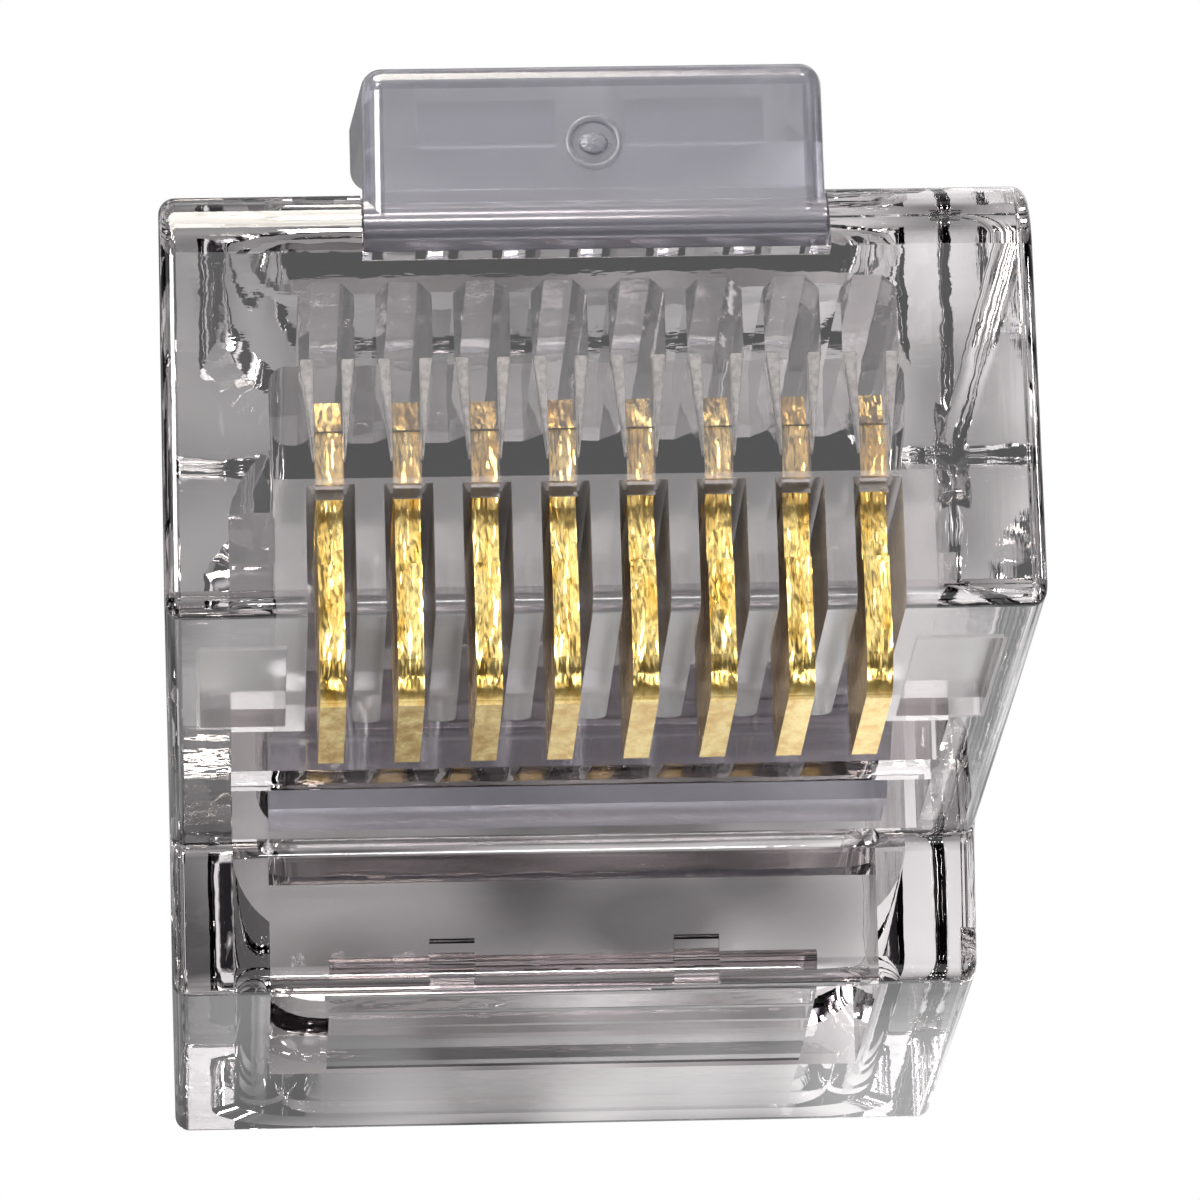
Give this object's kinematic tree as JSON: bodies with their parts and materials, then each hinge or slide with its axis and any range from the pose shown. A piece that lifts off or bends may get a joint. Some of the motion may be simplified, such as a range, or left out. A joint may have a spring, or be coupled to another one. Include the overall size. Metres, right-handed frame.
{
  "type": "modular plug",
  "caption": "Clear modular data plug, not yet crimped, with raised gilt blades in a comb of slots, a sprung latch on the far side, two cable clamps and an open cable end.",
  "frame": {"origin": "middle of the flat cable-end face, on which the plug stands", "axes": "+Z is the direction the plug is pushed into a jack, X runs across the contacts, the contact side faces -Y and the latch faces +Y"},
  "size_m": [0.0116, 0.0131, 0.0215],
  "materials": {
    "clear_polycarbonate": "clear, faintly smoked moulded polycarbonate with a polished surface",
    "gold_plated_contact": "gold-plated stamped phosphor bronze"
  },
  "bodies": {
    "housing": {"housing": "clear_polycarbonate"},
    "latch": {"latch": "clear_polycarbonate"},
    "contacts": {"contact_1": "gold_plated_contact", "contact_2": "gold_plated_contact", "contact_3": "gold_plated_contact", "contact_4": "gold_plated_contact", "contact_5": "gold_plated_contact", "contact_6": "gold_plated_contact", "contact_7": "gold_plated_contact", "contact_8": "gold_plated_contact"},
    "conductor_clamp": {"conductor_clamp": "clear_polycarbonate"},
    "jacket_clamp": {"jacket_clamp": "clear_polycarbonate"}
  },
  "joints": [
    {"name": "latch_flex", "type": "hinge", "parent": "housing", "child": "latch", "pos_m": [0, 0.00338, 0.02095], "axis": [-1, 0, 0], "range_deg": [0, 15], "stiffness_Nm_per_rad": 0.08},
    {"name": "contact_crimp", "type": "slide", "parent": "housing", "child": "contacts", "axis": [0, 1, 0], "range_m": [0, 0.0009]},
    {"name": "conductor_clamp_crimp", "type": "hinge", "parent": "housing", "child": "conductor_clamp", "pos_m": [0, -0.00105, 0.01235], "axis": [1, 0, 0], "range_deg": [0, 20]},
    {"name": "jacket_clamp_crimp", "type": "hinge", "parent": "housing", "child": "jacket_clamp", "pos_m": [0, -0.00355, 0.00815], "axis": [1, 0, 0], "range_deg": [0, 22]}
  ]
}
